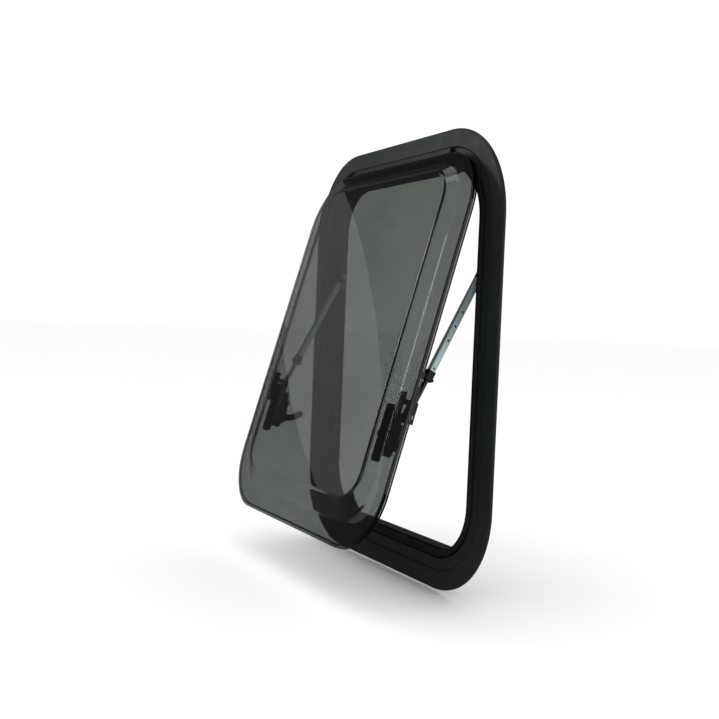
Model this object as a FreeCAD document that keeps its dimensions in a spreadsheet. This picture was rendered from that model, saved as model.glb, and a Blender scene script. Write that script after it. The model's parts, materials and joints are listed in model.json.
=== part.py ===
import FreeCAD, Part
import math
import os
import Sketcher

# Top-hung side window for a camper: black moulded frame, domed tinted double pane, hinge
# rail, two telescopic stays and two turn latches. Millimetres. X to the right seen from
# outside, Y into the vehicle, Z up. Y = 0 is the outer skin of the wall; the origin is the
# centre of the frame. The pane stands open; its pieces are drawn closed, then turned.

doc = FreeCAD.newDocument("side_window")
V = FreeCAD.Vector

SIZES = {
    # frame moulding; "_in" sizes are insets from the frame's outline
    "frame_w": 490, "frame_h": 590, "corner": 118, "flange_t": 4, "seat_in": 24.5, "seat_y": -1,
    "wall_in": 40, "lip_y": 6.5, "lip_in": 52, "channel_in": 22, "channel_d": 10, "neck_d": 24,
    "neck_wall": 3.5, "skin": 3,
    "gasket_in": 5, "gasket_w": 10, "gasket_t": 1.2,
    "seal_in": 42, "seal_w": 8, "seal_front": -4.7, "seal_round": 3,
    "boss_r": 4, "boss_hole_r": 1.4, "boss_x": 214, "boss_z": 130, "boss_x2": 110, "boss_z2": 264,
    # hinge
    "axis_y": -5, "axis_z": 262, "rail_len": 252, "bead_r": 1.9, "barrel_bore": 1.97,
    "barrel_r": 3.1, "hook_len": 250, "hook_leg": 16, "hook_t": 2, "cap_t": 2.5,
    # pane, drawn closed
    "pane_w": 434, "pane_top": 261, "pane_bottom": -251, "pane_corner": 80, "pane_front": -11.5,
    "outer_t": 3.5, "tape_t": 0.5, "tape_in": 3.2, "tape_w": 2, "inner_t": 2.5,
    "rim_side": 33, "rim_top": 14, "rim_bottom": 31, "slope": 14, "slope_bottom": 27, "dome": 11,
    "dome_round": 9, "foot_round": 6,
    # stays
    "stay_x": 184.5, "stay_y": 12, "stay_z": 114, "foot_y": 9, "foot_z": -76,
    "tube_w": 8, "tube_d": 8.6, "tube_wall": 0.8, "tube_start": 12, "tube_end": 150,
    "detent_r": 1.6, "pin_r": 2.5, "rod_r": 3.1, "rod_len": 104, "foot_pin_r": 2,
    "cap_w": 10.4, "cap_d": 11.2, "cap_start": 143, "cap_len": 13, "cap_bore": 3.2,
    "button_l": 14.6, "button_w": 8.4, "button_h": 3.2,
    # latches
    "latch_x": 166, "latch_z": -112, "plate_w": 21, "plate_len": 72, "plate_t": 4,
    "latch_w": 16, "latch_len": 54, "latch_h": 14, "hub_r": 8.5, "hub_h": 6.3, "latch_pin_r": 3,
    "tongue_w": 9, "tongue_len": 25, "tongue_t": 4, "grip_r": 4.6, "grip_bend": 120,
    # small screws
    "screw_r": 1.2, "screw_head_r": 2.4, "screw_head_h": 1.5,
}
OPEN_DEG = 16.3
PANE_INNER = -5.0
NECK_WALL = 193.0

sheet = doc.addObject("Spreadsheet::Sheet", "Sizes")
for row, (name, value) in enumerate(SIZES.items(), start=1):
    sheet.set("A%d" % row, name)
    sheet.set("B%d" % row, str(value))
    sheet.setAlias("B%d" % row, name)
doc.recompute()
S = SIZES


def bound(text):
    """Turn {name} into a reference to the size sheet."""
    return text.replace("{", "Sizes.").replace("}", "")


def put(obj, prop, value):
    """Set a property from a number, or bind it when given as text."""
    if isinstance(value, str):
        obj.setExpression(prop, bound(value))
    else:
        setattr(obj, prop, value)


# ---------------------------------------------------------------- sketch helpers
def origin_plane(body, role):
    return next(f for f in body.Origin.OriginFeatures if f.Role == role)


def new_body(label):
    body = doc.addObject("PartDesign::Body", label)
    body.Label = label
    return body


def new_sketch(body, role, offset, centre="0"):
    sk = body.newObject("Sketcher::SketchObject", "sketch")
    sk.AttachmentSupport = [(origin_plane(body, role), "")]
    sk.MapMode = "FlatFace"
    sk.setExpression("AttachmentOffset.Base.z", bound(offset))
    sk.setExpression("AttachmentOffset.Base.y", bound(centre))
    return sk


def rounded(sk, tag, width, height, radius):
    """A rounded rectangle centred on the sketch's origin, its three sizes bound."""
    w, h, r = 60.0, 80.0, 10.0
    a, b = w / 2, h / 2
    n = sk.GeometryCount
    corners = [(a - r, b - r, 0), (r - a, b - r, 90), (r - a, r - b, 180), (a - r, r - b, 270)]
    for cx, cy, start in corners:
        circle = Part.Circle(V(cx, cy, 0), V(0, 0, 1), r)
        sk.addGeometry(Part.ArcOfCircle(circle, math.radians(start), math.radians(start + 90)))
    sk.addGeometry(Part.LineSegment(V(a - r, b, 0), V(r - a, b, 0)))
    sk.addGeometry(Part.LineSegment(V(-a, b - r, 0), V(-a, r - b, 0)))
    sk.addGeometry(Part.LineSegment(V(r - a, -b, 0), V(a - r, -b, 0)))
    sk.addGeometry(Part.LineSegment(V(a, r - b, 0), V(a, b - r, 0)))
    for k in range(4):
        sk.addConstraint(Sketcher.Constraint("Tangent", n + k, 2, n + 4 + k, 1))
        sk.addConstraint(Sketcher.Constraint("Tangent", n + 4 + k, 2, n + (k + 1) % 4, 1))
        sk.addConstraint(Sketcher.Constraint("Vertical" if k % 2 else "Horizontal", n + 4 + k))
    for k in range(1, 4):
        sk.addConstraint(Sketcher.Constraint("Equal", n, n + k))
    sk.addConstraint(Sketcher.Constraint("Symmetric", n, 3, n + 2, 3, -1, 1))
    named = [("DistanceX", (n + 5, 1, n + 7, 1), w, "w", width),
             ("DistanceY", (n + 6, 1, n + 4, 1), h, "h", height),
             ("Radius", (n,), r, "r", radius)]
    for kind, refs, value, key, text in named:
        index = sk.addConstraint(Sketcher.Constraint(kind, *refs, value))
        sk.renameConstraint(index, tag + key)
        sk.setExpression("Constraints." + tag + key, bound(text))


def inset_outline(sk, tag, inset):
    rounded(sk, tag, "{frame_w} - 2*(%s)" % inset, "{frame_h} - 2*(%s)" % inset,
            "{corner} - (%s)" % inset)


def pane_outline(sk, tag, side):
    rounded(sk, tag, "{pane_w} - 2*(%s)" % side, "{pane_top} - {pane_bottom} - 2*(%s)" % side,
            "{pane_corner} - (%s)" % side)


def add_pad(body, sk, length):
    pad = body.newObject("PartDesign::Pad", "pad")
    pad.Profile = sk
    pad.setExpression("Length", bound(length))
    doc.recompute()
    return pad


def add_pocket(body, sk, length, reverse=False):
    pocket = body.newObject("PartDesign::Pocket", "pocket")
    pocket.Profile = sk
    pocket.Reversed = reverse
    pocket.setExpression("Length", bound(length))
    doc.recompute()
    return pocket


def frame_pad(body, back, length, insets):
    """Pad from the plane Y = back towards the outside."""
    sk = new_sketch(body, "XZ_Plane", "-1*(%s)" % back)
    for k, inset in enumerate(insets):
        inset_outline(sk, "abc"[k], inset)
    return add_pad(body, sk, length)


def frame_pocket(body, front, length, insets):
    """Cut from the plane Y = front towards the inside of the vehicle."""
    sk = new_sketch(body, "XZ_Plane", "-1*(%s)" % front)
    for k, inset in enumerate(insets):
        inset_outline(sk, "abc"[k], inset)
    return add_pocket(body, sk, length)


def edges_on_plane(shape, y):
    found = []
    for k, edge in enumerate(shape.Edges, start=1):
        box = edge.BoundBox
        if abs(box.YMin - y) < 1e-4 and abs(box.YMax - y) < 1e-4:
            found.append("Edge%d" % k)
    return found


def add_fillet(body, feature, names, radius):
    fillet = body.newObject("PartDesign::Fillet", "fillet")
    fillet.Base = (feature, names)
    put(fillet, "Radius", radius)
    doc.recompute()
    return fillet


# ---------------------------------------------------------------- solid helpers
AXES = {"x": FreeCAD.Rotation(V(0, 1, 0), 90), "y": FreeCAD.Rotation(V(1, 0, 0), -90),
        "z": FreeCAD.Rotation()}


def box(x, y, z, dx, dy, dz):
    """A box with its low corner at x, y, z."""
    b = doc.addObject("Part::Box", "box")
    put(b, "Length", dx)
    put(b, "Width", dy)
    put(b, "Height", dz)
    b.Placement = FreeCAD.Placement(V(x, y, z), FreeCAD.Rotation())
    return b


def rod(axis, x, y, z, radius, length):
    """A round bar that starts at x, y, z and runs along the positive axis."""
    c = doc.addObject("Part::Cylinder", "round")
    put(c, "Radius", radius)
    put(c, "Height", length)
    c.Placement = FreeCAD.Placement(V(x, y, z), AXES[axis])
    return c


def fuse(*parts):
    f = doc.addObject("Part::MultiFuse", "fuse")
    f.Shapes = list(parts)
    f.Refine = True
    return f


def cut(base, *tools):
    c = doc.addObject("Part::Cut", "cut")
    c.Base = base
    c.Tool = tools[0] if len(tools) == 1 else group(tools)
    return c


def group(parts):
    g = doc.addObject("Part::Compound", "group")
    g.Links = list(parts)
    return g


def round_edges(base, radius, pick):
    doc.recompute()
    f = doc.addObject("Part::Fillet", "rounded")
    f.Base = base
    f.Edges = [(k, radius, radius) for k, e in enumerate(base.Shape.Edges, start=1) if pick(e)]
    return f


def mirrored(part):
    m = doc.addObject("Part::Mirroring", "mirrored")
    m.Source = part
    m.Normal = V(1, 0, 0)
    m.Base = V(0, 0, 0)
    return m


def screw(axis, sign, x, y, z, length):
    """Pan-head screw whose head sits at x, y, z; its shank runs along sign * axis."""
    step = {"x": V(1, 0, 0), "y": V(0, 1, 0)}[axis] * sign
    head_h = S["screw_head_h"]
    start = V(x, y, z) if sign > 0 else V(x, y, z) + step * length
    head = V(x, y, z) - step * head_h if sign > 0 else V(x, y, z)
    shank = rod(axis, start.x, start.y, start.z, "{screw_r}", length)
    cap = rod(axis, head.x, head.y, head.z, "{screw_head_r}", "{screw_head_h}")
    return fuse(shank, cap)


def upright_edge(axis):
    """Pick straight edges that run along one axis."""
    def pick(edge):
        b = edge.BoundBox
        spans = {"x": b.XLength, "y": b.YLength, "z": b.ZLength}
        long_one = spans.pop(axis)
        return long_one > 0.5 and max(spans.values()) < 1e-6
    return pick


PARTS = []
HINGE = V(0, S["axis_y"], S["axis_z"])
OPEN_TURN = FreeCAD.Rotation(V(1, 0, 0), -OPEN_DEG)
PANE_PLACE = FreeCAD.Placement(HINGE - OPEN_TURN.multVec(HINGE), OPEN_TURN)


def node(part, label, placement=None):
    if placement is not None:
        part = group([part])
        part.Placement = placement
    part.Label = label
    PARTS.append(part)
    return part


def both_sides(part, label, placement=None):
    """One node that holds the right-hand solids and their mirror images."""
    return node(group([part, mirrored(part)]), label, placement)


# ---------------------------------------------------------------- frame moulding
frame = new_body("frame_body")
frame_pad(frame, "0", "{flange_t}", ["0"])
frame_pad(frame, "{channel_d}", "{channel_d}", ["{channel_in}"])
frame_pad(frame, "{neck_d}", "{neck_d} - {channel_d}", ["{lip_in} - {neck_wall}"])
frame_pocket(frame, "-1*{flange_t}", "{flange_t} + {seat_y}", ["{seat_in}"])
frame_pocket(frame, "-1*{flange_t}", "{flange_t} + {lip_y}", ["{wall_in}"])
frame_pocket(frame, "-1*{flange_t}", "{flange_t} + {neck_d}", ["{lip_in}"])
hollow_sk = new_sketch(frame, "XZ_Plane", "-1*{channel_d}")
inset_outline(hollow_sk, "a", "{channel_in} + {skin}")
inset_outline(hollow_sk, "b", "{wall_in} - {skin}")
add_pocket(frame, hollow_sk, "{channel_d} - {seat_y} - {skin}", True)
recess_sk = new_sketch(frame, "XZ_Plane", "0")
inset_outline(recess_sk, "a", "{gasket_in}")
inset_outline(recess_sk, "b", "{gasket_in} + {gasket_w}")
add_pocket(frame, recess_sk, "{gasket_t}", True)
front_edges = edges_on_plane(frame.Tip.Shape, -S["flange_t"])
add_fillet(frame, frame.Tip, front_edges, 2.5)

boss_spots = [(sx * S[a], sz * S[b]) for a, b in (("boss_x", "boss_z"), ("boss_x2", "boss_z2"))
              for sx in (-1, 1) for sz in (-1, 1)]
seat_back = S["seat_y"] + S["skin"] - 0.2
bosses = [rod("y", x, seat_back, z, "{boss_r}", "{channel_d} - {seat_y} - {skin} + 0.2")
          for x, z in boss_spots]
boss_holes = [rod("y", x, 4, z, "{boss_hole_r}", "{channel_d}") for x, z in boss_spots]

RAIL_SCREWS = [(-95, 267), (-37, 267), (37, 267), (95, 267)]
BRACKET_SCREWS = [(16.5, 99), (16.5, 129)]
STRIKER_SCREWS = [(11.0, -121), (11.0, -103)]
rail_pilots = [rod("y", x, -3, z, 1.25, 6) for x, z in RAIL_SCREWS]
side_pilots = [rod("x", 192, y, z, 1.25, 3.8) for y, z in BRACKET_SCREWS + STRIKER_SCREWS]
pivot_pilot = rod("x", 192, S["stay_y"], S["stay_z"], "{pin_r} + 0.02", 4)
side_holes = side_pilots + [pivot_pilot]
holes = boss_holes + rail_pilots + side_holes + [mirrored(h) for h in side_holes]
node(cut(fuse(frame, *bosses), *holes), "frame_moulding")

gasket = new_body("wall_gasket")
frame_pad(gasket, "0", "{gasket_t} - 0.02", ["{gasket_in} + 0.02", "{gasket_in} + {gasket_w} - 0.02"])
node(gasket, "wall_gasket")

seal = new_body("pane_seal")
frame_pad(seal, "{lip_y}", "{lip_y} - {seal_front}", ["{seal_in}", "{seal_in} + {seal_w}"])
add_fillet(seal, seal.Tip, edges_on_plane(seal.Tip.Shape, S["seal_front"]), "{seal_round}")
seal_core = new_sketch(seal, "XZ_Plane", "-1*({lip_y})")
inset_outline(seal_core, "a", "{seal_in} + 2")
inset_outline(seal_core, "b", "{seal_in} + {seal_w} - 2")
add_pocket(seal, seal_core, "{lip_y} - {seal_front} - 3.5", True)
node(seal, "pane_seal")

# ---------------------------------------------------------------- hinge
half_rail = S["rail_len"] / 2
bead = rod("x", -half_rail, S["axis_y"], S["axis_z"], "{bead_r}", "{rail_len}")
web = box(-half_rail, S["axis_y"] - 0.6, S["axis_z"], "{rail_len}", 1.2, 4.5)
bar = box(-half_rail, -6, 265.4, "{rail_len}", 5.0, 4.9)
rail_holes = [rod("y", x, -4.5, z, 1.25, 6) for x, z in RAIL_SCREWS]
node(cut(fuse(bead, web, bar), *rail_holes), "hinge_rail")
rail_screws = [screw("y", -1, x, 2, z, 6) for x, z in RAIL_SCREWS]
node(group(rail_screws), "hinge_rail_screws")

end_cap = fuse(box(half_rail + 0.02, -6, 259, "{cap_t}", 5.0, 11.3),
               rod("x", half_rail + 0.02, S["axis_y"], S["axis_z"], "{barrel_r}", "{cap_t}"))
both_sides(end_cap, "hinge_end_caps")

half_hook = S["hook_len"] / 2
barrel = rod("x", -half_hook, S["axis_y"], S["axis_z"], "{barrel_r}", "{hook_len}")
skirt = box(-half_hook, S["axis_y"] - 2.5, S["axis_z"] - S["hook_leg"],
            "{hook_len}", "{hook_t}", "{hook_leg} - 1")
bore = rod("x", -half_hook - 1, S["axis_y"], S["axis_z"], "{barrel_bore}", "{hook_len} + 2")
mouth = rod("x", -half_hook - 1, S["axis_y"], S["axis_z"], 9, "{hook_len} + 2")
mouth.Angle = 84
# the mouth faces the rail's web through the whole swing
mouth_turn = FreeCAD.Rotation(V(0, 1, 0), V(0, 0, 1), V(1, 0, 0), "ZXY")
mouth.Placement = FreeCAD.Placement(V(-half_hook - 1, S["axis_y"], S["axis_z"]),
                                    FreeCAD.Rotation(V(1, 0, 0), 64) * mouth_turn)
node(cut(fuse(barrel, skirt), bore, mouth), "hinge_hook", PANE_PLACE)

# ---------------------------------------------------------------- pane
PANE_MID = "({pane_top} + {pane_bottom})/2"


def pane_sketch(body, y):
    return new_sketch(body, "XZ_Plane", "-1*(%s)" % y, PANE_MID)


def dome_sketch(body, y, grow):
    """Outline of the raised panel; grow 0 is its foot, 1 its flat top."""
    side = "({rim_side} + {slope}*%s)" % grow
    top = "({rim_top} + {slope}*%s)" % grow
    bottom = "({rim_bottom} + {slope_bottom}*%s)" % grow
    centre = "({pane_top} - %s + {pane_bottom} + %s)/2" % (top, bottom)
    sk = new_sketch(body, "XZ_Plane", "-1*(%s)" % y, centre)
    rounded(sk, "a", "{pane_w} - 2*%s" % side, "{pane_top} - {pane_bottom} - %s - %s" % (top, bottom),
            "{pane_corner} - {rim_side} + 8 - {slope}*%s" % grow)
    return sk


def raised_foot(b):
    """True for edges of the raised panel's foot, false for the sheet's own outline."""
    half = S["pane_w"] / 2 - 10
    return b.XMax < half and b.XMin > -half and b.ZMax < S["pane_top"] - 8 and b.ZMin > -250


outer = new_body("pane_outer_body")
rim = pane_sketch(outer, "{pane_front} + {outer_t}")
pane_outline(rim, "a", "0")
add_pad(outer, rim, "{outer_t}")
raised = outer.newObject("PartDesign::AdditiveLoft", "raised")
raised.Profile = dome_sketch(outer, "{pane_front}", "0")
raised.Sections = [dome_sketch(outer, "{pane_front} - {dome}", "1")]
raised.Ruled = True
doc.recompute()
add_fillet(outer, outer.Tip, edges_on_plane(outer.Tip.Shape, S["pane_front"] - S["dome"]), "{dome_round}")
foot_edges = [name for name in edges_on_plane(outer.Tip.Shape, S["pane_front"])
              if raised_foot(outer.Tip.Shape.getElement(name).BoundBox)]
add_fillet(outer, outer.Tip, foot_edges, "{foot_round}")
hollow = outer.newObject("PartDesign::SubtractiveLoft", "hollow")
hollow.Profile = dome_sketch(outer, "{pane_front} + {outer_t}", "0.0")
hollow.Sections = [dome_sketch(outer, "{pane_front} + {outer_t} - {dome} + 0.2", "1.05")]
hollow.Ruled = True
doc.recompute()
roof_y = S["pane_front"] + S["outer_t"] - S["dome"] + 0.2
add_fillet(outer, outer.Tip, edges_on_plane(outer.Tip.Shape, roof_y), "{foot_round}")
mouth_edges = [name for name in edges_on_plane(outer.Tip.Shape, S["pane_front"] + S["outer_t"])
               if raised_foot(outer.Tip.Shape.getElement(name).BoundBox)]
add_fillet(outer, outer.Tip, mouth_edges, "{dome_round}")
node(outer, "pane_outer", PANE_PLACE)

tape = new_body("bond_tape_body")
tape_sk = pane_sketch(tape, "{pane_front} + {outer_t} + {tape_t}")
pane_outline(tape_sk, "a", "{tape_in}")
pane_outline(tape_sk, "b", "{tape_in} + {tape_w}")
add_pad(tape, tape_sk, "{tape_t}")
hook_tape = box(-half_hook, S["pane_front"] + S["outer_t"], 246.5, "{hook_len}", "{tape_t}", 8.5)
node(group([tape, hook_tape]), "bond_tape", PANE_PLACE)

inner = new_body("pane_inner_body")
inner_sk = pane_sketch(inner, "{pane_front} + {outer_t} + {tape_t} + {inner_t}")
pane_outline(inner_sk, "a", "0")
add_pad(inner, inner_sk, "{inner_t}")
plate_mid = S["latch_z"] + 10
PANE_SCREWS = [(S["latch_x"], plate_mid - 32.5), (S["latch_x"], plate_mid + 32.5),
               (S["stay_x"], -89), (S["stay_x"], -53)]
pane_pilots = [rod("y", x, -7, z, 1.25, 3) for x, z in PANE_SCREWS]
hook_notch = box(-130, -9, 245.5, 260, 6, 20)
pane_cuts = pane_pilots + [mirrored(p) for p in pane_pilots] + [hook_notch]
node(cut(inner, *pane_cuts), "pane_inner", PANE_PLACE)
both_sides(group([screw("y", -1, x, PANE_INNER + S["plate_t"], z, 5.8) for x, z in PANE_SCREWS]),
           "pane_screws", PANE_PLACE)

# ---------------------------------------------------------------- latches
plate_back = PANE_INNER + S["plate_t"]
plate = box(S["latch_x"] - S["plate_w"] / 2, PANE_INNER, plate_mid - S["plate_len"] / 2,
            "{plate_w}", "{plate_t}", "{plate_len}")
plate = round_edges(plate, 5.0, upright_edge("y"))
plate_holes = [rod("y", x, -6, z, 1.25, 6) for x, z in PANE_SCREWS[:2]]
both_sides(cut(plate, *plate_holes), "latch_plates", PANE_PLACE)

housing = box(S["latch_x"] - S["latch_w"] / 2, plate_back, plate_mid - S["latch_len"] / 2,
              "{latch_w}", "{latch_h}", "{latch_len}")
housing = round_edges(housing, 6.0, upright_edge("y"))
pin_bore = rod("y", S["latch_x"], 3, S["latch_z"], "{latch_pin_r} + 0.02", 14)
both_sides(cut(housing, pin_bore), "latch_housings", PANE_PLACE)

hub_y = plate_back + S["latch_h"] + 0.2
pin_shank = rod("y", S["latch_x"], 3.1, S["latch_z"], "{latch_pin_r}", hub_y + S["hub_h"] + 0.15 - 3.1)
pin_head = rod("y", S["latch_x"], hub_y + S["hub_h"] + 0.15, S["latch_z"], 5.2, 1.8)
both_sides(fuse(pin_shank, pin_head), "latch_pins", PANE_PLACE)

hub = rod("y", S["latch_x"], hub_y, S["latch_z"], "{hub_r}", "{hub_h}")
tongue = box(S["latch_x"] - S["tongue_w"] / 2, hub_y + 1.1, S["latch_z"],
             "{tongue_w}", "{tongue_t}", "{tongue_len}")
GRIP_START, GRIP_SWEEP = 4.0, 20.0
grip_y = hub_y + S["hub_h"]
grip = doc.addObject("Part::Torus", "grip")
put(grip, "Radius1", "{grip_bend}")
put(grip, "Radius2", "{grip_r}")
grip.Angle3 = GRIP_SWEEP
grip_centre = V(S["latch_x"], grip_y, S["latch_z"] + S["grip_bend"])
grip_turn = FreeCAD.Rotation(V(0, 0, -1), V(-1, 0, 0), V(0, 1, 0), "ZXY")
grip.Placement = FreeCAD.Placement(grip_centre,
                                   grip_turn * FreeCAD.Rotation(V(0, 0, 1), GRIP_START))
tip_angle = math.radians(GRIP_START + GRIP_SWEEP)
tip = doc.addObject("Part::Sphere", "tip")
put(tip, "Radius", "{grip_r}")
tip.Placement.Base = grip_centre + V(-math.sin(tip_angle), 0, -math.cos(tip_angle)) * S["grip_bend"]
lever_bore = rod("y", S["latch_x"], hub_y - 1, S["latch_z"], "{latch_pin_r} + 0.06", 20)
lever = cut(fuse(hub, tongue, grip, tip), lever_bore)
node(lever, "latch_lever_right", PANE_PLACE)
node(mirrored(lever), "latch_lever_left", PANE_PLACE)

striker = box(NECK_WALL - 8.5, 8, S["latch_z"] - 14, 8.48, 6.2, 28)
striker = round_edges(striker, 1.5, upright_edge("z"))
striker_holes = [rod("x", 180, y, z, 1.25, 16) for y, z in STRIKER_SCREWS]
both_sides(cut(striker, *striker_holes), "latch_strikers")
both_sides(group([screw("x", 1, 184.5, y, z, 10.5) for y, z in STRIKER_SCREWS]), "striker_screws")

# ---------------------------------------------------------------- stays
bracket = box(190.2, 7, S["stay_z"] - 20, 2.78, 15, 40)
bracket = round_edges(bracket, 4.0, upright_edge("x"))
bracket_holes = [rod("x", 188, y, z, 1.25, 6) for y, z in BRACKET_SCREWS]
bracket_pivot = rod("x", 188, S["stay_y"], S["stay_z"], "{pin_r} + 0.02", 6)
both_sides(cut(bracket, bracket_pivot, *bracket_holes), "stay_frame_brackets")
both_sides(group([screw("x", 1, 190.2, y, z, 5) for y, z in BRACKET_SCREWS]), "bracket_screws")
pivot = fuse(rod("x", 180, S["stay_y"], S["stay_z"], "{pin_r}", 15.5),
             rod("x", 179.2, S["stay_y"], S["stay_z"], 4.2, 1.8))
both_sides(pivot, "stay_pivot_pins")
washer = cut(rod("x", 188.75, S["stay_y"], S["stay_z"], 5.5, 1.3),
             rod("x", 188, S["stay_y"], S["stay_z"], "{pin_r} + 0.04", 3))
both_sides(washer, "stay_washers")

foot = PANE_PLACE.multVec(V(S["stay_x"], S["foot_y"], S["foot_z"]))
stay_dy = foot.y - S["stay_y"]
stay_dz = foot.z - S["stay_z"]
stay_len = math.hypot(stay_dy, stay_dz)
stay_deg = math.degrees(math.atan2(-stay_dy, -stay_dz))
STAY_PLACE = FreeCAD.Placement(V(S["stay_x"], S["stay_y"], S["stay_z"]),
                               FreeCAD.Rotation(V(1, 0, 0), -stay_deg))


def stay_node(part, name):
    """Stays are drawn hanging from the origin; one is set on each side."""
    right = node(part, name + "_right", STAY_PLACE)
    node(mirrored(right), name + "_left")


tube = new_body("stay_tube_body")
tube_sk = new_sketch(tube, "XY_Plane", "-1*{tube_end}")
rounded(tube_sk, "a", "{tube_w}", "{tube_d}", "1.5")
rounded(tube_sk, "b", "{tube_w} - 2*{tube_wall}", "{tube_d} - 2*{tube_wall}", "0.3")
add_pad(tube, tube_sk, "{tube_end} - {tube_start}")
detents = [rod("x", 2, 0, -s, "{detent_r}", 6) for s in (60, 80, 100, 139)]
stay_node(cut(tube, *detents), "stay_tube")

eye_disc = rod("x", -3.2, 0, 0, 6, 7.2)
eye_neck = box(-3.2, -4.2, -11.98, 7.2, 8.4, 11.98)
eye_plug = box(-3.15, -3.45, -34, 6.3, 6.9, 24)
eye_bore = rod("x", -6, 0, 0, "{pin_r} + 0.06", 12)
stay_node(cut(fuse(eye_disc, eye_neck, eye_plug), eye_bore), "stay_eye")

cap_z = -(S["cap_start"] + S["cap_len"])
shell = box(-S["cap_w"] / 2, -S["cap_d"] / 2, cap_z, "{cap_w}", "{cap_d}", "{cap_len}")
shell = round_edges(shell, 2.0, upright_edge("z"))
socket = box(-4.02, -4.32, -150.02, 8.04, 8.64, 9)
guide = rod("z", 0, 0, cap_z - 1, "{cap_bore}", 20)
button_slot = box(-4.3, -8, -154.4, 8.6, 16, 3.4)
stay_node(cut(shell, socket, guide, button_slot), "stay_cap")
button = box(-S["button_w"] / 2, -S["button_l"] / 2, -154.3, "{button_w}", "{button_l}", "{button_h}")
stay_node(cut(button, box(-3.3, -4.7, -156, 6.6, 9.4, 8)), "stay_button")

rod_end = -(stay_len - 10.2)
stay_node(rod("z", 0, 0, rod_end, "{rod_r}", "{rod_len}"), "stay_rod")
rod_top = rod_end + S["rod_len"]
piston = box(-3.1, -3.4, rod_top + 0.02, 6.2, 6.8, 14)
stay_node(cut(piston, rod("x", 0.5, 0, rod_top + 7, 1.45, 6)), "stay_piston")
stay_node(rod("x", 0.6, 0, rod_top + 7, 1.4, 2.5), "stay_detent")

collar = rod("z", 0, 0, rod_end - 2, 4.2, 11)
blade = box(-3.2, -3.5, -stay_len, 6.4, 7, 9)
blade_end = rod("x", -3.2, 0, -stay_len, 3.5, 6.4)
collar_bore = rod("z", 0, 0, rod_end - 0.02, "{rod_r} + 0.02", 12)
blade_bore = rod("x", -5, 0, -stay_len, "{foot_pin_r} + 0.02", 10)
stay_node(cut(fuse(collar, blade, blade_end), collar_bore, blade_bore), "stay_foot_eye")
foot_pin = fuse(rod("x", -7.3, 0, -stay_len, "{foot_pin_r}", 14.6),
                rod("x", 6.3, 0, -stay_len, 3.2, 1.0), rod("x", -7.3, 0, -stay_len, 3.2, 1.0))
stay_node(foot_pin, "stay_foot_pin")

sx = S["stay_x"]
foot_base = box(sx - 6.1, PANE_INNER, -93, 12.2, 2, 44)
foot_ends = [box(sx - 6.1, PANE_INNER, z, 12.2, 4, 8.5) for z in (-93, -57.5)]
cheeks = [box(sx + x, PANE_INNER, -84.5, 1.6, 20, 27) for x in (-6.1, 4.5)]
window = box(sx - 10, -1.5, -78.6, 20, 13.2, 15.4)
foot_holes = [rod("y", x, -6, z, 1.25, 7) for x, z in PANE_SCREWS[2:]]
both_sides(cut(fuse(foot_base, *(foot_ends + cheeks)), window, *foot_holes),
           "stay_foot_brackets", PANE_PLACE)

# ---------------------------------------------------------------- checks and export
doc.recompute()
os.makedirs("parts", exist_ok=True)
for obj in doc.Objects:
    if "Invalid" in obj.State or "Error" in obj.State:
        raise RuntimeError("%s is not built: %s" % (obj.Label, obj.State))
for part in PARTS:
    shape = part.Shape
    if shape.isNull() or not shape.isValid():
        raise RuntimeError("%s has a faulty shape" % part.Label)
    shape.exportStep("parts/%s.step" % part.Label)
    b = shape.BoundBox
    print("%-22s %3d solids %10.1f mm3  x %7.1f %7.1f  y %7.1f %7.1f  z %7.1f %7.1f"
          % (part.Label, len(shape.Solids), shape.Volume, b.XMin, b.XMax, b.YMin, b.YMax,
             b.ZMin, b.ZMax))
print("stay length", round(stay_len, 3), "angle", round(stay_deg, 3))
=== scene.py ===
import json
import math

import bpy
from mathutils import Matrix, Vector


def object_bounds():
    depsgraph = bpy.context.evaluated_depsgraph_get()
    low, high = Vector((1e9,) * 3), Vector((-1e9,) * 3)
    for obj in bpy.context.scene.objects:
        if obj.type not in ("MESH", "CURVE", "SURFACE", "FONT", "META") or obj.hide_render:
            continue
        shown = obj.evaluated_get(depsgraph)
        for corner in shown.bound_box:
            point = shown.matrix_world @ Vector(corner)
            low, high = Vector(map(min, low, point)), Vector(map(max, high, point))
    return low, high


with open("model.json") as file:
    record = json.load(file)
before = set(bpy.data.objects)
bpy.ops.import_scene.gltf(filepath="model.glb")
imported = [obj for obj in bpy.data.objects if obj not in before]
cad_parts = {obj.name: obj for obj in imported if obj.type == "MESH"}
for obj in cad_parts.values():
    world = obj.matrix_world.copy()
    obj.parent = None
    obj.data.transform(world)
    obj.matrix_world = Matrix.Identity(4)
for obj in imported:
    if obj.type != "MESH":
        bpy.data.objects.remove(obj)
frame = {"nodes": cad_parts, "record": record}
CAD_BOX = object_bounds()
NODES = frame["nodes"]


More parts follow.
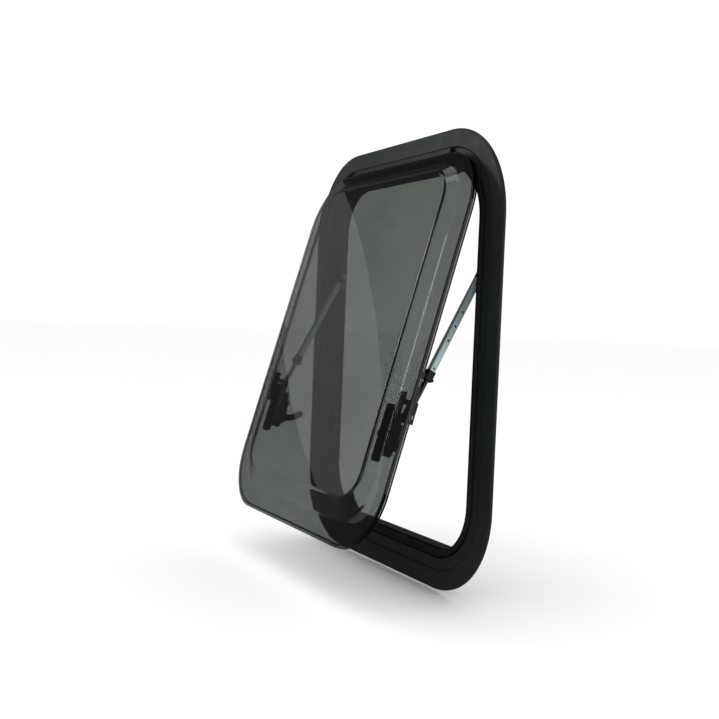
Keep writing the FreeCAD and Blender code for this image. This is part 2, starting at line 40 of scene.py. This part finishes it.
# ---------------------------------------------------------------- material helpers
class Graph:
    """A small wrapper round a material's node tree."""

    def __init__(self, name):
        self.material = bpy.data.materials.new(name)
        self.material.use_nodes = True
        self.tree = self.material.node_tree
        self.tree.nodes.clear()
        self.out = self.tree.nodes.new("ShaderNodeOutputMaterial")
        self.shader = self.tree.nodes.new("ShaderNodeBsdfPrincipled")
        self.link(self.shader.outputs[0], self.out.inputs[0])
        self.coord = self.add("ShaderNodeTexCoord").outputs["Object"]

    def add(self, kind, **values):
        node = self.tree.nodes.new(kind)
        for key, value in values.items():
            setattr(node, key, value)
        return node

    def link(self, a, b):
        self.tree.links.new(a, b)

    def noise(self, scale, detail=4.0, rough=0.55, stretch=(1, 1, 1)):
        mapping = self.add("ShaderNodeMapping")
        mapping.inputs["Scale"].default_value = stretch
        self.link(self.coord, mapping.inputs["Vector"])
        node = self.add("ShaderNodeTexNoise")
        node.inputs["Scale"].default_value = scale
        node.inputs["Detail"].default_value = detail
        node.inputs["Roughness"].default_value = rough
        self.link(mapping.outputs[0], node.inputs["Vector"])
        return node.outputs["Fac"]

    def ramp(self, fac, low, high, start=0.3, stop=0.7):
        node = self.add("ShaderNodeValToRGB")
        node.color_ramp.elements[0].position = start
        node.color_ramp.elements[1].position = stop
        node.color_ramp.elements[0].color = low
        node.color_ramp.elements[1].color = high
        self.link(fac, node.inputs[0])
        return node.outputs[0]

    def spread(self, fac, low, high, start=0.3, stop=0.7):
        node = self.add("ShaderNodeMapRange")
        node.inputs["From Min"].default_value = start
        node.inputs["From Max"].default_value = stop
        node.inputs["To Min"].default_value = low
        node.inputs["To Max"].default_value = high
        self.link(fac, node.inputs["Value"])
        return node.outputs[0]

    def edge(self, radius):
        """1 on sharp edges, 0 on flats."""
        bevel = self.add("ShaderNodeBevel", samples=4)
        bevel.inputs["Radius"].default_value = radius
        geometry = self.add("ShaderNodeNewGeometry")
        dot = self.add("ShaderNodeVectorMath", operation="DOT_PRODUCT")
        self.link(bevel.outputs[0], dot.inputs[0])
        self.link(geometry.outputs["Normal"], dot.inputs[1])
        return self.spread(dot.outputs["Value"], 1.0, 0.0, 0.72, 0.985)

    def mix(self, fac, a, b):
        node = self.add("ShaderNodeMix", data_type="RGBA")
        self.link(fac, node.inputs["Factor"])
        self.link(a, node.inputs["A"])
        if isinstance(b, tuple):
            node.inputs["B"].default_value = b
        else:
            self.link(b, node.inputs["B"])
        return node.outputs["Result"]

    def bump(self, height, strength, distance, base=None):
        node = self.add("ShaderNodeBump")
        node.inputs["Strength"].default_value = strength
        node.inputs["Distance"].default_value = distance
        self.link(height, node.inputs["Height"])
        if base is not None:
            self.link(base, node.inputs["Normal"])
        self.link(node.outputs[0], self.shader.inputs["Normal"])
        return node.outputs[0]

    def set(self, **values):
        for key, value in values.items():
            self.shader.inputs[key.replace("_", " ")].default_value = value


def grey(value, tint=(1.0, 1.0, 1.0)):
    return (value * tint[0], value * tint[1], value * tint[2], 1.0)


COOL = (0.80, 1.02, 1.05)
WHITE = (1, 1, 1, 1)
PANE_OPEN = math.radians(16.3)
# the pane's normal in the part's frame
PANE_AXIS = (0.0, math.cos(PANE_OPEN), -math.sin(PANE_OPEN))


def moulded(name, dark, light, rough, grain, edge_light, edge_radius=0.0006):
    """Moulded plastic: slow colour drift, fine grain, slightly polished edges."""
    g = Graph(name)
    drift = g.noise(9.0, 3.0)
    colour = g.ramp(drift, grey(dark, COOL), grey(light, COOL))
    speck = g.noise(900.0, 2.0)
    colour = g.mix(g.spread(speck, 0.0, 0.25, 0.45, 0.7), colour, grey(light * 1.5, COOL))
    colour = g.mix(g.edge(edge_radius), colour, grey(edge_light, COOL))
    g.link(colour, g.shader.inputs["Base Color"])
    smear = g.noise(35.0, 5.0, 0.6)
    g.link(g.spread(smear, rough - 0.06, rough + 0.08), g.shader.inputs["Roughness"])
    fine = g.noise(2600.0, 2.0)
    first = g.bump(fine, grain, 0.00008)
    g.bump(g.noise(240.0, 3.0), grain * 0.6, 0.00012, first)
    return g


def black_abs():
    g = moulded("frame_abs", 0.014, 0.020, 0.38, 0.35, 0.04, 0.0009)
    g.set(Specular_IOR_Level=0.42)
    return g.material


def black_nylon():
    g = moulded("nylon", 0.006, 0.010, 0.46, 0.5, 0.035)
    g.set(Specular_IOR_Level=0.4)
    return g.material


def epdm():
    g = moulded("epdm", 0.009, 0.014, 0.72, 0.6, 0.02)
    g.set(Specular_IOR_Level=0.25)
    return g.material


def bond_strip():
    return moulded("bond_strip", 0.006, 0.010, 0.55, 0.2, 0.01).material


def black_anodised():
    g = Graph("anodised_black")
    streak = g.noise(700.0, 3.0, 0.6, (0.02, 1.0, 1.0))
    colour = g.ramp(streak, grey(0.012, COOL), grey(0.024, COOL))
    colour = g.mix(g.edge(0.0004), colour, grey(0.12, COOL))
    g.link(colour, g.shader.inputs["Base Color"])
    g.link(g.spread(streak, 0.24, 0.42), g.shader.inputs["Roughness"])
    g.bump(streak, 0.25, 0.00005)
    g.set(Metallic=0.35, Specular_IOR_Level=0.5)
    return g.material


def drawn_metal(name, dark, light, rough, along, metallic=1.0):
    """Extruded or drawn metal with fine lines that run along it."""
    g = Graph(name)
    streak = g.noise(1500.0, 3.0, 0.6, along)
    cloud = g.noise(30.0, 4.0)
    colour = g.mix(g.spread(cloud, 0.0, 0.5), g.ramp(streak, grey(dark, COOL), grey(light, COOL)),
                   grey((dark + light) / 2, COOL))
    colour = g.mix(g.edge(0.0004), colour, grey(min(1.0, light * 1.35), COOL))
    g.link(colour, g.shader.inputs["Base Color"])
    g.link(g.spread(streak, rough - 0.07, rough + 0.1), g.shader.inputs["Roughness"])
    g.bump(streak, 0.3, 0.00004)
    g.set(Metallic=metallic)
    return g.material


def acrylic(name, tint, rough):
    """Smoked acrylic, a little dusty, dark at its cut edges, slightly wavy from forming."""
    g = Graph(name)
    cloud = g.noise(7.0, 3.0)
    colour = g.ramp(cloud, grey(0.95, tint), grey(1.05, tint))
    facing = g.add("ShaderNodeVectorMath", operation="DOT_PRODUCT")
    g.link(g.add("ShaderNodeTexCoord").outputs["Normal"], facing.inputs[0])
    facing.inputs[1].default_value = PANE_AXIS
    flatness = g.add("ShaderNodeMath", operation="ABSOLUTE")
    g.link(facing.outputs["Value"], flatness.inputs[0])
    colour = g.mix(g.spread(flatness.outputs[0], 1.0, 0.0, 0.12, 0.32), colour, grey(0.004))
    g.link(colour, g.shader.inputs["Base Color"])
    dust = g.noise(160.0, 6.0, 0.65)
    g.link(g.spread(dust, rough, rough + 0.02, 0.45, 0.75), g.shader.inputs["Roughness"])
    g.bump(g.noise(14.0, 2.0), 0.06, 0.0006)
    g.set(Transmission_Weight=1.0, IOR=1.49)
    return g.material


MATERIALS = {
    "black_abs": black_abs(),
    "black_nylon": black_nylon(),
    "epdm": epdm(),
    "bond_tape": bond_strip(),
    "black_aluminium": black_anodised(),
    "aluminium": drawn_metal("tube_aluminium", 0.62, 0.78, 0.34, (1.0, 0.06, 0.03), 0.6),
    "dark_steel": drawn_metal("rod_steel", 0.10, 0.17, 0.30, (1.0, 0.06, 0.03)),
    "steel": drawn_metal("plated_steel", 0.35, 0.5, 0.32, (1.0, 1.0, 1.0)),
    "tinted_acrylic_outer": acrylic("acrylic_outer", (0.335, 0.355, 0.34), 0.006),
    "tinted_acrylic_inner": acrylic("acrylic_inner", (0.42, 0.445, 0.43), 0.008),
}

for entry in frame["record"]["subparts"]:
    mesh = NODES[entry["node"]].data
    mesh.materials.clear()
    mesh.materials.append(MATERIALS[entry["material_slot"]])

# ---------------------------------------------------------------- studio
floor_mesh = bpy.data.meshes.new("floor")
side, low = 40.0, CAD_BOX[0][2] - 0.002
floor_mesh.from_pydata([(-side, -side, low), (side, -side, low), (side, side, low), (-side, side, low)],
                       [], [(0, 1, 2, 3)])
floor = bpy.data.objects.new("floor", floor_mesh)
bpy.context.scene.collection.objects.link(floor)
paper = Graph("floor_paper")
paper.link(paper.ramp(paper.noise(3.0, 2.0), (0.965, 0.965, 0.965, 1), (0.98, 0.98, 0.98, 1)),
           paper.shader.inputs["Base Color"])
paper.set(Roughness=0.9, Specular_IOR_Level=0.1)
floor_mesh.materials.append(paper.material)
floor.visible_glossy = False

world = bpy.data.worlds.new("studio")
bpy.context.scene.world = world
world.use_nodes = True
tree = world.node_tree
tree.nodes.clear()
world_out = tree.nodes.new("ShaderNodeOutputWorld")
seen, light = tree.nodes.new("ShaderNodeBackground"), tree.nodes.new("ShaderNodeBackground")
seen.inputs["Color"].default_value = WHITE
seen.inputs["Strength"].default_value = 1.05
light.inputs["Color"].default_value = (0.95, 0.98, 1.0, 1)
light.inputs["Strength"].default_value = 0.07
path = tree.nodes.new("ShaderNodeLightPath")
blend = tree.nodes.new("ShaderNodeMixShader")
# reflections, also those inside the panes, see the dim studio; the rest sees white
mirrored = tree.nodes.new("ShaderNodeMath")
mirrored.operation = "MINIMUM"
mirrored.inputs[1].default_value = 1.0
tree.links.new(path.outputs["Glossy Depth"], mirrored.inputs[0])
tree.links.new(mirrored.outputs[0], blend.inputs[0])
tree.links.new(seen.outputs[0], blend.inputs[1])
tree.links.new(light.outputs[0], blend.inputs[2])
tree.links.new(blend.outputs[0], world_out.inputs[0])


def softbox(name, place, aim, width, height, radiance, along=(0, 0, 1), shape="RECTANGLE"):
    """An area light at place, facing aim; its height runs along the given direction."""
    data = bpy.data.lights.new(name, "AREA")
    data.shape = shape
    data.size, data.size_y = width, height
    area = width * height * (math.pi / 4 if shape == "ELLIPSE" else 1.0)
    data.energy = radiance * math.pi * area
    obj = bpy.data.objects.new(name, data)
    bpy.context.scene.collection.objects.link(obj)
    behind = (Vector(place) - Vector(aim)).normalized()
    tall = (Vector(along) - behind * behind.dot(Vector(along))).normalized()
    wide = tall.cross(behind)
    obj.matrix_world = (Matrix.Translation(Vector(place))
                        @ Matrix((wide, tall, behind)).transposed().to_4x4())
    obj.visible_camera = False
    return obj


softbox("overhead", (-0.4, -0.3, 2.4), (0, 0, 0), 1.8, 1.4, 0.9)
softbox("side_fill", (2.2, 1.2, 0.2), (0.1, 0, 0), 1.6, 1.6, 1.0)
softbox("frame_sheen", (-2.5, -2.25, 1.15), (0.1, 0, 0.2), 0.6, 1.2, 3.0)
softbox("pane_sheen", (-2.5, -1.167, 0.658), (0, -0.1, 0), 0.40, 1.55, 0.24,
        (0, -0.67, -0.74), "ELLIPSE")

# ---------------------------------------------------------------- camera
azimuth, elevation, roll = (math.radians(a) for a in (61.59, 1.93, 2.39))
back = Vector((math.sin(azimuth) * math.cos(elevation), -math.cos(azimuth) * math.cos(elevation),
               math.sin(elevation)))
level = Vector((math.cos(azimuth), math.sin(azimuth), 0))
upward = back.cross(level)
right = level * math.cos(roll) + upward * math.sin(roll)
above = upward * math.cos(roll) - level * math.sin(roll)
camera_data = bpy.data.cameras.new("camera")
camera_data.lens = 49.2
camera_data.sensor_width = 36.0
aim, distance = Vector((-0.09462, -0.004, -0.01007)), 1.45665
camera = bpy.data.objects.new("camera", camera_data)
bpy.context.scene.collection.objects.link(camera)
camera.matrix_world = (Matrix.Translation(aim + back * distance)
                       @ Matrix((right, above, back)).transposed().to_4x4())
bpy.context.scene.camera = camera
bpy.context.scene.view_settings.view_transform = "Standard"
